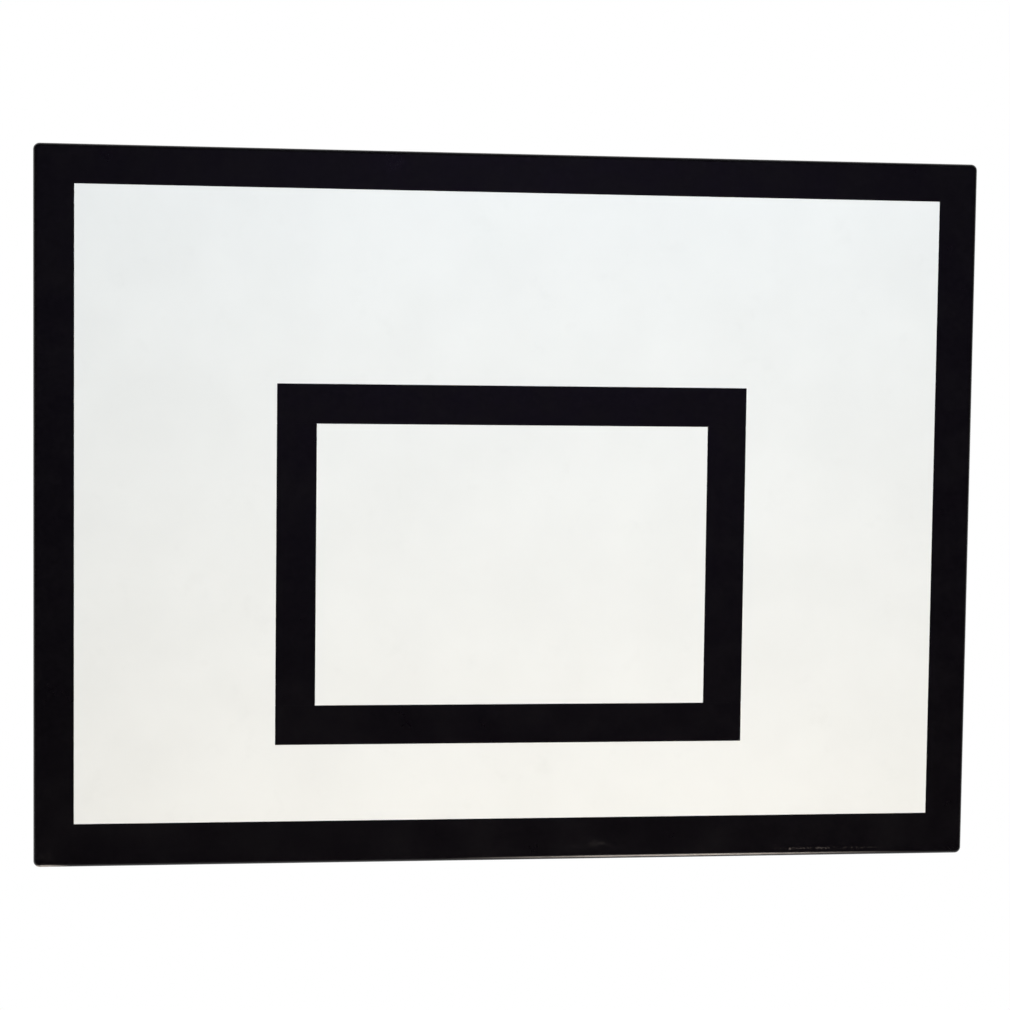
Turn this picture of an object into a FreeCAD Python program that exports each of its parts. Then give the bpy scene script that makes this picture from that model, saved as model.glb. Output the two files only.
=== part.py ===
"""Basketball backboard: a white-faced plywood panel on a galvanised tube frame.

Units are millimetres. +Z is up, +X is to the right as a player sees the board, and the playing
face looks towards -Y. The origin is the centre of the four wall bolts, on the rear plane of the
lugs that they clamp. Left and right are a player's left and right.
"""

import FreeCAD
import Part
import Sketcher

import math
import os
from dataclasses import dataclass

# Driving dimensions: alias, number, meaning
DIMENSIONS = [
    ("board_width", "1200", "overall width of the panel"),
    ("board_height", "900", "overall height of the panel"),
    ("core_thickness", "18", "plywood core"),
    ("laminate_thickness", "1", "white face sheet"),
    ("corner_radius", "8", "rounding of the panel's outline"),
    ("arris_radius", "5", "rounding of the panel's front edge"),
    ("film_thickness", "0.3", "black enamel, let in flush with the face"),
    ("border_side", "50", "black border on the face, at either side"),
    ("border_top", "49", "black border on the face, at the top"),
    ("border_bottom", "54.5", "black border on the face, at the bottom"),
    ("target_width", "600", "target rectangle, over its lines"),
    ("target_height", "456", "target rectangle, over its lines"),
    ("target_line", "50", "width of the target's lines"),
    ("target_rise", "152", "panel's lower edge to the target's lower edge"),
    ("tube_size", "30", "square tube, outside"),
    ("tube_wall", "2", "square tube, wall"),
    ("tube_corner", "3", "square tube, outer corner radius"),
    ("bore_corner", "1", "square tube, inner corner radius"),
    ("frame_inset", "30", "panel's edge to the frame's outside"),
    ("upright_offset", "160", "centre line to each upright's axis"),
    ("vent_diameter", "8", "drain hole for the zinc bath"),
    ("vent_inset", "25", "closed tube end to its drain hole"),
    ("ring_plate_height", "170", "backing plate, bottom to top"),
    ("ring_plate_thickness", "6", "backing plate"),
    ("ring_hole_diameter", "11", "clearance hole for the ring's bolts"),
    ("ring_hole_columns", "110", "ring bolts, left to right"),
    ("ring_hole_rows", "90", "ring bolts, lower to upper"),
    ("ring_hole_margin", "25", "backing plate's lower edge to the lower ring bolts"),
    ("lug_thickness", "5", "wall lug"),
    ("lug_height", "50", "wall lug"),
    ("lug_lap", "10", "lug's inner edge past the upright's axis"),
    ("lug_margin", "25", "wall bolt to the lug's outer edge"),
    ("wall_bolt_offset", "40", "upright's axis to the wall bolt"),
    ("wall_bolt_drop", "90", "rail's inner side to the nearest wall bolts"),
    ("wall_bolt_hole", "11", "clearance hole for the wall bolts"),
    ("plate_corner", "4", "corner radius of lugs, tabs and backing plate"),
    ("tab_thickness", "4", "panel tab"),
    ("tab_length", "40", "panel tab, along its tube"),
    ("tab_reach", "28", "panel tab, out from its tube"),
    ("tab_hole_clearance", "0.5", "tab's hole to the screw, all round"),
    ("tab_hole_inset", "15", "tube's side to the screw"),
    ("stile_tab_pitch", "195", "spacing of the tabs on a stile"),
    ("upright_tab_rise", "160", "crossbar's upper side to an upright's lower tab"),
    ("screw_diameter", "6", "coach screw"),
    ("screw_head_flats", "10", "coach screw's hexagon, across flats"),
    ("screw_head_height", "4", "coach screw's hexagon"),
    ("screw_tip", "5", "length of the screw's point"),
    ("screw_cover", "3.6", "wood left between the screw's point and the face sheet"),
    ("pilot_clearance", "0.1", "pilot hole's wall to the screw"),
    ("washer_clearance", "0.2", "washer's hole to the screw, all round"),
    ("washer_diameter", "12", "washer"),
    ("washer_thickness", "1.6", "washer"),
    ("cap_head", "2.5", "thickness of an end cap's head"),
    ("cap_plug", "12", "length of an end cap's plug"),
    ("cap_plug_wall", "2", "wall of the hollow plug"),
    ("cap_clearance", "0.2", "plug to the tube's bore, each side"),
    ("weld_leg", "4", "leg of a fillet weld"),
    ("ring_weld_margin", "20", "ring plate's corners to the ends of its welds"),
]

SMALLEST_VOLUME = 1e-6
SIDES = (("left", -1), ("right", 1))
LEVELS = (("lower", -1), ("upper", 1))


@dataclass(frozen=True)
class Size:
    """A length held both as an expression of the document and as its number.

    Arithmetic keeps the two together, so each relation between pieces is written once.
    """

    text: str
    number: float

    def __add__(self, other):
        return Size(f"({self.text} + {other.text})", self.number + other.number)

    def __sub__(self, other):
        return Size(f"({self.text} - {other.text})", self.number - other.number)

    def __mul__(self, factor):
        return Size(f"({self.text} * {factor})", self.number * factor)

    def __truediv__(self, divisor):
        return Size(f"({self.text} / {divisor})", self.number / divisor)

    def __neg__(self):
        return self * -1


ZERO = Size("0", 0.0)

doc = FreeCAD.newDocument("backboard")
nodes = []


def read_sheet():
    """Write the driving dimensions into the sheet and return them as sizes by name."""
    sheet = doc.addObject("Spreadsheet::Sheet", "sizes")
    for row, (alias, number, meaning) in enumerate(DIMENSIONS, 1):
        sheet.set(f"A{row}", alias)
        sheet.set(f"B{row}", number)
        sheet.set(f"C{row}", meaning)
        sheet.setAlias(f"B{row}", alias)
    doc.recompute()
    return {alias: Size(f"sizes.{alias}", float(sheet.get(alias))) for alias, _, _ in DIMENSIONS}


def bind(thing, **sizes):
    """Bind properties of an object to sizes."""
    for name, size in sizes.items():
        thing.setExpression(name, size.text)


def place(thing, turn=None, **position):
    """Turn an object and bind its position, given as x, y and z, to sizes."""
    thing.Placement = FreeCAD.Placement(FreeCAD.Vector(), turn or FreeCAD.Rotation())
    for axis, size in position.items():
        thing.setExpression(f"Placement.Base.{axis}", size.text)
    return thing


def keep(thing):
    """Mark an object as a sub-part that gets a file of its own."""
    nodes.append(thing)
    return thing


def turn_about(x, y, z, degrees):
    """Return a rotation about the direction x, y, z."""
    return FreeCAD.Rotation(FreeCAD.Vector(x, y, z), degrees)


# Sketches and the shapes padded from them


def new_sketch(body, purpose, role):
    """Add a sketch to a body on the origin plane that has this role."""
    plane = next(feature for feature in body.Origin.OriginFeatures if feature.Role == role)
    sketch = body.newObject("Sketcher::SketchObject", f"{body.Name}_{purpose}")
    sketch.AttachmentSupport = (plane, "")
    sketch.MapMode = "FlatFace"
    return sketch


def dimension(sketch, kind, *references, length):
    """Add a sketch constraint whose value is bound to a size."""
    index = sketch.addConstraint(Sketcher.Constraint(kind, *references, length.number))
    sketch.setExpression(f"Constraints[{index}]", length.text)


def rounded_rectangle(sketch, width, height, radius):
    """Draw a rectangle with rounded corners about the sketch's origin."""
    bottom = sketch.GeometryCount
    half_width = width.number / 2
    half_height = height.number / 2
    flat_x = half_width - radius.number
    flat_y = half_height - radius.number
    corners = [(flat_x, -flat_y), (flat_x, flat_y), (-flat_x, flat_y), (-flat_x, -flat_y)]
    sides = [
        ((-flat_x, -half_height), (flat_x, -half_height)),
        ((half_width, -flat_y), (half_width, flat_y)),
        ((flat_x, half_height), (-flat_x, half_height)),
        ((-half_width, flat_y), (-half_width, -flat_y)),
    ]
    up = FreeCAD.Vector(0, 0, 1)
    outline = []
    for quarter, (side, corner) in enumerate(zip(sides, corners)):
        start, end = (FreeCAD.Vector(*point, 0) for point in side)
        outline.append(Part.LineSegment(start, end))
        rounding = Part.Circle(FreeCAD.Vector(*corner, 0), up, radius.number)
        begin = math.radians(90 * quarter - 90)
        outline.append(Part.ArcOfCircle(rounding, begin, begin + math.pi / 2))
    sketch.addGeometry(outline, False)

    right, top, left = bottom + 2, bottom + 4, bottom + 6
    arcs = [bottom + 1, right + 1, top + 1, left + 1]
    for line, arc in zip((bottom, right, top, left), arcs):
        following = bottom if line == left else line + 2
        sketch.addConstraint(Sketcher.Constraint("Tangent", line, 2, arc, 1))
        sketch.addConstraint(Sketcher.Constraint("Tangent", arc, 2, following, 1))
    for line in (bottom, top):
        sketch.addConstraint(Sketcher.Constraint("Horizontal", line))
    for line in (left, right):
        sketch.addConstraint(Sketcher.Constraint("Vertical", line))
    for arc in arcs[1:]:
        sketch.addConstraint(Sketcher.Constraint("Equal", arcs[0], arc))
    sketch.addConstraint(Sketcher.Constraint("Symmetric", arcs[0], 3, arcs[2], 3, -1, 1))
    dimension(sketch, "Radius", arcs[0], length=radius)
    dimension(sketch, "DistanceX", left, 1, right, 1, length=width)
    dimension(sketch, "DistanceY", bottom, 1, top, 1, length=height)


def circle(sketch, across, along, diameter):
    """Draw a circle at a place in the sketch."""
    centre = FreeCAD.Vector(across.number, along.number, 0)
    up = FreeCAD.Vector(0, 0, 1)
    ring = sketch.addGeometry(Part.Circle(centre, up, diameter.number / 2), False)
    dimension(sketch, "DistanceX", -1, 1, ring, 3, length=across)
    dimension(sketch, "DistanceY", -1, 1, ring, 3, length=along)
    dimension(sketch, "Diameter", ring, length=diameter)


def new_body(name):
    """Add an empty body."""
    return doc.addObject("PartDesign::Body", name)


def pad(body, sketch, length, reverse=False):
    """Pad a sketch of a body."""
    feature = body.newObject("PartDesign::Pad", f"{sketch.Name}_pad")
    feature.Profile = sketch
    feature.Reversed = reverse
    bind(feature, Length=length)
    return feature


def plate(name, width, height, thickness, corner, holes=()):
    """Make an upright plate with its rear face in its own XZ plane, towards -Y in front.

    Holes are given as across, along, diameter from the plate's middle.
    """
    body = new_body(name)
    sketch = new_sketch(body, "outline", "XZ_Plane")
    rounded_rectangle(sketch, width, height, corner)
    for across, along, diameter in holes:
        circle(sketch, across, along, diameter)
    pad(body, sketch, thickness)
    return body


def round_front_edge(body, radius):
    """Round the edges of a plate's front face."""
    doc.recompute()
    solid = body.Tip
    front = solid.Shape.BoundBox.YMin
    edges = [
        f"Edge{index}"
        for index, edge in enumerate(solid.Shape.Edges, 1)
        if all(vertex.Y - front < radius.number / 2 for vertex in edge.Vertexes)
    ]
    arris = body.newObject("PartDesign::Fillet", f"{body.Name}_arris")
    arris.Base = (solid, edges)
    bind(arris, Radius=radius)


def slab(name, x, y, z):
    """Make a box from three pairs of sizes, each the lower and the upper side."""
    box = doc.addObject("Part::Box", name)
    bind(box, Length=x[1] - x[0], Width=y[1] - y[0], Height=z[1] - z[0])
    return place(box, x=x[0], y=y[0], z=z[0])


def cut(name, base, tools):
    """Cut tools out of a base."""
    tool = doc.addObject("Part::Compound", f"{name}_tools")
    tool.Links = tools
    result = doc.addObject("Part::Cut", name)
    result.Base = base
    result.Tool = tool
    return result


def common(name, base, tool):
    """Keep what two shapes share."""
    result = doc.addObject("Part::Common", name)
    result.Base = base
    result.Tool = tool
    return result


def group(name, shapes):
    """Make one sub-part of several separate solids."""
    feature = doc.addObject("Part::Feature", name)
    feature.Shape = Part.makeCompound(shapes)
    feature.Placement = FreeCAD.Placement()
    return feature


size = read_sheet()

# Planes in depth, from the wall forward, and the frame's places

lug_front = -size["lug_thickness"]
panel_rear = lug_front - size["tube_size"]
core_front = panel_rear - size["core_thickness"]
face = core_front - size["laminate_thickness"]
film_back = face + size["film_thickness"]
tube_depth = lug_front - size["tube_size"] / 2
tab_rear = panel_rear + size["tab_thickness"]
washer_rear = tab_rear + size["washer_thickness"]
screw_point = core_front + size["screw_cover"]
panel_thickness = size["core_thickness"] + size["laminate_thickness"]

half_tube = size["tube_size"] / 2
half_width = size["board_width"] / 2
half_height = size["board_height"] / 2
frame_half_width = half_width - size["frame_inset"]
frame_half_height = half_height - size["frame_inset"]
stile_offset = frame_half_width - half_tube
rail_height = frame_half_height - half_tube
rail_inside = frame_half_height - size["tube_size"]
upright_inside = size["upright_offset"] - half_tube
upright_outside = size["upright_offset"] + half_tube
ring_plate_top = size["ring_plate_height"] - frame_half_height
crossbar_height = ring_plate_top + half_tube
crossbar_top = crossbar_height + half_tube
wall_bolt_x = size["upright_offset"] + size["wall_bolt_offset"]
wall_bolt_z = rail_inside - size["wall_bolt_drop"]


# Panel: plywood core, white face sheet, black border and target


def panel_blank(name, inset):
    """Make the panel's outline as one block with its rounded front edge, drawn in by an inset."""
    body = plate(
        name,
        size["board_width"] - inset * 2,
        size["board_height"] - inset * 2,
        panel_thickness - inset,
        size["corner_radius"] - inset,
    )
    round_front_edge(body, size["arris_radius"] - inset)
    return place(body, y=panel_rear)


def build_target():
    """Make the target's four lines, the upper and lower ones running its full width."""
    outer_x = size["target_width"] / 2
    inner_x = outer_x - size["target_line"]
    bottom = size["target_rise"] - half_height
    top = bottom + size["target_height"]
    inner_bottom = bottom + size["target_line"]
    inner_top = top - size["target_line"]
    depth = (face, film_back)
    return [
        keep(slab("target_line_top", (-outer_x, outer_x), depth, (inner_top, top))),
        keep(slab("target_line_bottom", (-outer_x, outer_x), depth, (bottom, inner_bottom))),
        keep(slab("target_line_left", (-outer_x, -inner_x), depth, (inner_bottom, inner_top))),
        keep(slab("target_line_right", (inner_x, outer_x), depth, (inner_bottom, inner_top))),
    ]


def build_panel(screw_points):
    """Make the panel's core, face sheet, border and target."""
    whole = panel_blank("panel_blank", ZERO)
    bare = panel_blank("bare_blank", size["film_thickness"])
    window_x = half_width - size["border_side"]
    window_z = (size["border_bottom"] - half_height, half_height - size["border_top"])
    window = slab("border_window", (-window_x, window_x), (face, core_front), window_z)
    border = keep(cut("border_band", whole, [bare, window]))
    target = build_target()

    span_x = (-half_width, half_width)
    span_z = (-half_height, half_height)
    sheet_slab = slab("sheet_slab", span_x, (face, core_front), span_z)
    sheet_blank = common("sheet_blank", whole, sheet_slab)
    keep(cut("front_laminate", sheet_blank, [border, *target]))

    core_slab = slab("core_slab", span_x, (core_front, panel_rear), span_z)
    core_blank = common("core_blank", bare, core_slab)
    radius = size["screw_diameter"].number / 2 + size["pilot_clearance"].number
    bottom = screw_point.number - size["pilot_clearance"].number
    depth = panel_rear.number - bottom
    into_core = FreeCAD.Vector(0, 1, 0)
    holes = [
        Part.makeCylinder(radius, depth, FreeCAD.Vector(x, bottom, z), into_core)
        for x, z in screw_points
    ]
    keep(cut("plywood_core", core_blank, [group("pilot_holes", holes)]))


# Frame: square tubes, backing plate, lugs and tabs


def square_tube(name, length, upright, vents=()):
    """Make a square tube that runs up or to the right from its own origin.

    Vents are drain holes in its rear wall, each given by its distance along the tube.
    """
    body = new_body(name)
    section = new_sketch(body, "section", "XY_Plane" if upright else "YZ_Plane")
    bore = size["tube_size"] - size["tube_wall"] * 2
    rounded_rectangle(section, size["tube_size"], size["tube_size"], size["tube_corner"])
    rounded_rectangle(section, bore, bore, size["bore_corner"])
    pad(body, section, length)
    if vents:
        drill = new_sketch(body, "vents", "XZ_Plane")
        for distance in vents:
            across, along = (ZERO, distance) if upright else (distance, ZERO)
            circle(drill, across, along, size["vent_diameter"])
        pocket = body.newObject("PartDesign::Pocket", f"{name}_pocket")
        pocket.Profile = drill
        pocket.Type = "ThroughAll"
    return keep(body)


def build_tubes():
    """Make the eight tubes of the frame."""
    near_end = size["vent_inset"]
    top_rail = square_tube("top_rail", frame_half_width * 2, upright=False)
    place(top_rail, x=-frame_half_width, y=tube_depth, z=rail_height)

    half_rail = frame_half_width - upright_outside
    stile = rail_inside * 2
    upright = frame_half_height + rail_inside
    for side, sign in SIDES:
        inner_end = near_end if sign > 0 else half_rail - near_end
        rail = square_tube(f"bottom_rail_{side}", half_rail, upright=False, vents=[inner_end])
        rail_start = upright_outside if sign > 0 else -frame_half_width
        place(rail, x=rail_start, y=tube_depth, z=-rail_height)

        both_ends = [near_end, stile - near_end]
        side_tube = square_tube(f"stile_{side}", stile, upright=True, vents=both_ends)
        place(side_tube, x=stile_offset * sign, y=tube_depth, z=-rail_inside)

        post = square_tube(f"upright_{side}", upright, upright=True, vents=[upright - near_end])
        place(post, x=size["upright_offset"] * sign, y=tube_depth, z=-frame_half_height)

    span = upright_inside * 2
    crossbar = square_tube("ring_crossbar", span, upright=False, vents=[near_end, span - near_end])
    place(crossbar, x=-upright_inside, y=tube_depth, z=crossbar_height)


def build_ring_plate():
    """Make the plate that the ring's bolts clamp, between the uprights and under the crossbar."""
    middle = ring_plate_top - size["ring_plate_height"] / 2
    lower_row = size["ring_hole_margin"] - size["ring_plate_height"] / 2
    holes = [
        (size["ring_hole_columns"] / 2 * across, row, size["ring_hole_diameter"])
        for across in (-1, 1)
        for row in (lower_row, lower_row + size["ring_hole_rows"])
    ]
    backing = plate(
        "ring_backing_plate",
        upright_inside * 2,
        size["ring_plate_height"],
        size["ring_plate_thickness"],
        size["plate_corner"],
        holes,
    )
    keep(place(backing, y=panel_rear + size["ring_plate_thickness"], z=middle))


def build_lugs():
    """Make the four lugs that the wall bolts clamp, welded to the uprights' rear faces."""
    inner = size["upright_offset"] - size["lug_lap"]
    outer = wall_bolt_x + size["lug_margin"]
    middle = (inner + outer) / 2
    for side, sign in SIDES:
        hole = ((wall_bolt_x - middle) * sign, ZERO, size["wall_bolt_hole"])
        for level, rise in LEVELS:
            lug = plate(
                f"lug_{level}_{side}",
                outer - inner,
                size["lug_height"],
                size["lug_thickness"],
                size["plate_corner"],
                [hole],
            )
            keep(place(lug, x=middle * sign, z=wall_bolt_z * rise))


@dataclass(frozen=True)
class TabSite:
    """Where a panel tab stands: the middle of its edge on the tube and the way that it points."""

    name: str
    x: Size
    z: Size
    out_x: int
    out_z: int

    def point(self, distance):
        """Return the place at a distance out from the tube."""
        return self.x + distance * self.out_x, self.z + distance * self.out_z


def tab_sites():
    """List the fifteen places where the frame is screwed to the panel."""
    between = (size["upright_offset"] + stile_offset) / 2
    stile_side = stile_offset - half_tube
    pitch = size["stile_tab_pitch"]
    sites = [TabSite("tab_top_centre", ZERO, rail_inside, 0, -1)]
    for side, sign in SIDES:
        sites.append(TabSite(f"tab_top_{side}", between * sign, rail_inside, 0, -1))
        sites.append(TabSite(f"tab_bottom_{side}", between * sign, -rail_inside, 0, 1))
        for level, height in (("lower", -pitch), ("middle", ZERO), ("upper", pitch)):
            name = f"tab_stile_{side}_{level}"
            sites.append(TabSite(name, stile_side * sign, height, -sign, 0))
        for level, height in (("lower", crossbar_top + size["upright_tab_rise"]), ("upper", pitch)):
            name = f"tab_upright_{side}_{level}"
            sites.append(TabSite(name, upright_inside * sign, height, -sign, 0))
    return sites


def build_tabs(sites):
    """Make a tab at each site, flat on the panel's rear face."""
    diameter = size["screw_diameter"] + size["tab_hole_clearance"] * 2
    hole = (ZERO, size["tab_reach"] / 2 - size["tab_hole_inset"], diameter)
    for site in sites:
        tab = plate(
            site.name,
            size["tab_length"],
            size["tab_reach"],
            size["tab_thickness"],
            size["plate_corner"],
            [hole],
        )
        x, z = site.point(size["tab_reach"] / 2)
        turn = turn_about(0, 1, 0, math.degrees(math.atan2(-site.out_x, -site.out_z)))
        keep(place(tab, turn, x=x, y=tab_rear, z=z))


# Fasteners and end caps


def build_screws(points):
    """Make the coach screws and their washers, one of each at every tab."""
    height = size["screw_head_height"]
    head = doc.addObject("Part::Prism", "screw_head")
    head.Polygon = 6
    bind(head, Circumradius=size["screw_head_flats"] / math.sqrt(3), Height=height)
    shank_length = washer_rear - screw_point - size["screw_tip"]
    shank = doc.addObject("Part::Cylinder", "screw_shank")
    bind(shank, Radius=size["screw_diameter"] / 2, Height=shank_length)
    place(shank, z=-shank_length)
    tip = doc.addObject("Part::Cone", "screw_point")
    tip.Radius1 = 0
    bind(tip, Radius2=size["screw_diameter"] / 2, Height=size["screw_tip"])
    place(tip, z=screw_point - washer_rear)
    screw = doc.addObject("Part::MultiFuse", "coach_screw")
    screw.Shapes = [head, shank, tip]

    disc = doc.addObject("Part::Cylinder", "washer_disc")
    bind(disc, Radius=size["washer_diameter"] / 2, Height=size["washer_thickness"])
    bore = doc.addObject("Part::Cylinder", "washer_hole")
    bore_radius = size["screw_diameter"] / 2 + size["washer_clearance"]
    bind(bore, Radius=bore_radius, Height=size["washer_thickness"])
    washer = cut("washer", disc, [bore])
    doc.recompute()

    head_to_rear = turn_about(1, 0, 0, -90)
    for name, master, depth in (
        ("coach_screws", screw, washer_rear),
        ("screw_washers", washer, tab_rear),
    ):
        copies = []
        for x, z in points:
            copy = master.Shape.copy()
            copy.Placement = FreeCAD.Placement(FreeCAD.Vector(x, depth.number, z), head_to_rear)
            copies.append(copy)
        keep(group(name, copies))


def end_cap(name):
    """Make an end cap with a flat head above its own origin and a hollow plug below it."""
    body = new_body(name)
    head = new_sketch(body, "head", "XY_Plane")
    rounded_rectangle(head, size["tube_size"], size["tube_size"], size["tube_corner"])
    pad(body, head, size["cap_head"])
    plug = new_sketch(body, "plug", "XY_Plane")
    outside = size["tube_size"] - size["tube_wall"] * 2 - size["cap_clearance"] * 2
    inside = outside - size["cap_plug_wall"] * 2
    rounded_rectangle(plug, outside, outside, size["bore_corner"])
    rounded_rectangle(plug, inside, inside, size["bore_corner"])
    pad(body, plug, size["cap_plug"], reverse=True)
    return keep(body)


def build_caps():
    """Close the open tube ends: both rails' outer ends and the uprights' feet."""
    for side, sign in SIDES:
        outwards = turn_about(0, 1, 0, 90 * sign)
        for rail, height in (("top", rail_height), ("bottom", -rail_height)):
            cap = end_cap(f"cap_{rail}_{side}")
            place(cap, outwards, x=frame_half_width * sign, y=tube_depth, z=height)
        foot = end_cap(f"cap_upright_{side}")
        downwards = turn_about(1, 0, 0, 180)
        place(foot, downwards, x=size["upright_offset"] * sign, y=tube_depth, z=-frame_half_height)


# Welds: triangular beads in the corners between two faces


def bead(corner, first, second, run):
    """Make one bead from a corner point, the ways that its two legs point and its run."""
    leg = size["weld_leg"].number
    start = FreeCAD.Vector(*corner)
    first_toe = start + FreeCAD.Vector(*first) * leg
    second_toe = start + FreeCAD.Vector(*second) * leg
    section = Part.Face(Part.makePolygon([start, first_toe, second_toe, start]))
    return section.extrude(FreeCAD.Vector(*run))


def build_frame_welds():
    """Make the beads where tubes meet; joints that lie flush are ground flat and have none."""
    flat = (size["tube_size"] - size["tube_corner"] * 2).number
    front = (panel_rear + size["tube_corner"]).number
    stile_side = (stile_offset - half_tube).number
    joints = []
    for _, sign in SIDES:
        joints += [
            (stile_side * sign, rail_inside.number, -sign, -1),
            (stile_side * sign, -rail_inside.number, -sign, 1),
            (upright_inside.number * sign, rail_inside.number, -sign, -1),
            (upright_outside.number * sign, rail_inside.number, sign, -1),
            (upright_outside.number * sign, -rail_inside.number, sign, 1),
            (upright_inside.number * sign, crossbar_top.number, -sign, 1),
        ]
    beads = [
        bead((x, front, z), (across, 0, 0), (0, 0, along), (0, flat, 0))
        for x, z, across, along in joints
    ]
    keep(group("frame_welds", beads))


def build_lug_welds():
    """Make the beads above, below and beside each lug."""
    rear_face = lug_front.number
    inner = (size["upright_offset"] - size["lug_lap"] + size["plate_corner"]).number
    flat_end = (upright_outside - size["tube_corner"]).number
    half_lug = size["lug_height"].number / 2
    side_run = size["lug_height"].number - size["plate_corner"].number * 2
    beads = []
    for _, sign in SIDES:
        across = (sign * (flat_end - inner), 0, 0)
        for _, rise in LEVELS:
            middle = wall_bolt_z.number * rise
            for way in (-1, 1):
                corner = (sign * inner, rear_face, middle + way * half_lug)
                beads.append(bead(corner, (0, 0, way), (0, 1, 0), across))
            corner = (sign * upright_outside.number, rear_face, middle - side_run / 2)
            beads.append(bead(corner, (sign, 0, 0), (0, -1, 0), (0, 0, side_run)))
    keep(group("lug_welds", beads))


def build_ring_plate_welds():
    """Make the beads on the backing plate's two sides and along the crossbar."""
    rear_face = (panel_rear + size["ring_plate_thickness"]).number
    margin = size["ring_weld_margin"].number
    side = upright_inside.number
    top = ring_plate_top.number
    height = size["ring_plate_height"].number - margin * 2
    beads = [
        bead((sign * side, rear_face, top - margin), (-sign, 0, 0), (0, 1, 0), (0, 0, -height))
        for _, sign in SIDES
    ]
    across = (2 * (side - margin), 0, 0)
    beads.append(bead((margin - side, rear_face, top), (0, 0, -1), (0, 1, 0), across))
    keep(group("ring_plate_welds", beads))


def build_tab_welds(sites):
    """Make the bead that joins each tab's edge to its tube."""
    run = size["tab_length"].number - size["plate_corner"].number * 2
    beads = []
    for site in sites:
        along_x, along_z = -site.out_z, site.out_x
        corner = (
            site.x.number - along_x * run / 2,
            tab_rear.number,
            site.z.number - along_z * run / 2,
        )
        out = (site.out_x, 0, site.out_z)
        beads.append(bead(corner, out, (0, 1, 0), (along_x * run, 0, along_z * run)))
    keep(group("tab_welds", beads))


def check_and_write():
    """Stop on any failed object or shape, then write one file for each sub-part."""
    doc.recompute()
    for thing in doc.Objects:
        if {"Invalid", "Error"} & set(thing.State):
            raise RuntimeError(f"{thing.Label} failed: {thing.State}")
    for node in nodes:
        shape = node.Shape
        if shape.isNull() or not shape.isValid():
            raise RuntimeError(f"{node.Label} has no valid shape")
        if min((solid.Volume for solid in shape.Solids), default=0) <= SMALLEST_VOLUME:
            raise RuntimeError(f"{node.Label} has an empty or inside-out solid")
    os.makedirs("parts", exist_ok=True)
    for node in nodes:
        node.Shape.exportStep(f"parts/{node.Label}.step")
        print(f"{node.Label}: {len(node.Shape.Solids)} solids, {node.Shape.Volume:.1f} mm3")
    print(f"{len(nodes)} sub-parts")


sites = tab_sites()
screw_points = []
for site in sites:
    across, along = site.point(size["tab_hole_inset"])
    screw_points.append((across.number, along.number))

build_panel(screw_points)
build_tubes()
build_ring_plate()
build_lugs()
build_tabs(sites)
build_screws(screw_points)
build_caps()
build_frame_welds()
build_lug_welds()
build_ring_plate_welds()
build_tab_welds(sites)
check_and_write()
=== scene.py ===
"""Looks of the basketball backboard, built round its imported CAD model.

The playing panel, the welded tube frame behind it, its plates, welds, screws and end caps are
separate pieces, and each stands where its CAD node stands. Lengths are in metres.
"""

import logging
import math
from collections.abc import Callable
from dataclasses import dataclass
from enum import Enum
from functools import partial

import bmesh
import bpy
from bmesh.types import BMEdge, BMesh, BMFace, BMVert
from bpy.types import Material, Node, NodeSocket, NodeTree, Object, World
from mathutils import Matrix, Vector


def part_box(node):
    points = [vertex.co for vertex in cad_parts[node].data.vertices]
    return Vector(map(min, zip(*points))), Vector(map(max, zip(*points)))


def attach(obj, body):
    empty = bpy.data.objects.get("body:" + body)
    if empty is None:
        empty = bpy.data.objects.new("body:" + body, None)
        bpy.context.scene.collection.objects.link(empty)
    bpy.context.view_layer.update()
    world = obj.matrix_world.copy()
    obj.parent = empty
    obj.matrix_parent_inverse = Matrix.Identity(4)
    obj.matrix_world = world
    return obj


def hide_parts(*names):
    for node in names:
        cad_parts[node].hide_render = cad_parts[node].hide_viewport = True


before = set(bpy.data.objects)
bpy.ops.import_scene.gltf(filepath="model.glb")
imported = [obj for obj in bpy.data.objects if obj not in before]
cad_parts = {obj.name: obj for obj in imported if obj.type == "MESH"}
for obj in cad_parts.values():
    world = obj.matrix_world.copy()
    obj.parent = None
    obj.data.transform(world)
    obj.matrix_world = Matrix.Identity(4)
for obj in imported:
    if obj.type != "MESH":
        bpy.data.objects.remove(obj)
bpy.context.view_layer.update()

Add = Callable[..., Node]
Look = tuple[list[tuple[Node, str]], Node, Node]
Point = tuple[float, float, float]

LOG = logging.getLogger("backboard")
MM = 0.001
TOUCH = 1e-6
SHARP = math.radians(40)
# Cosine above which two directions count as the same.
ALIGNED = 0.999
FRONT = Vector((0, -1, 0))
REAR = Vector((0, 1, 0))
RIGHT = Vector((1, 0, 0))
UP = Vector((0, 0, 1))
# Stands a flat outline up across the Y axis.
UPRIGHT = Matrix.Rotation(math.pi / 2, 4, "X")


class Axis(Enum):
    """An axis of the frame, by its place in a vector."""

    X = 0
    Y = 1
    Z = 2


class Rounded(Enum):
    """What is rounded: the edges of a solid or the corners of an outline."""

    EDGES = "EDGES"
    CORNERS = "VERTICES"


class TubeEnd(Enum):
    """An end of a tube, by the sign of its direction along the tube."""

    LOW = -1
    HIGH = 1


class TabSide(Enum):
    """The way a tab points from its tube, by the start of its node's name."""

    TOP = ("tab_top", (0, 0, -1))
    BOTTOM = ("tab_bottom", (0, 0, 1))
    STILE_LEFT = ("tab_stile_left", (1, 0, 0))
    STILE_RIGHT = ("tab_stile_right", (-1, 0, 0))
    UPRIGHT_LEFT = ("tab_upright_left", (1, 0, 0))
    UPRIGHT_RIGHT = ("tab_upright_right", (-1, 0, 0))


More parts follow.
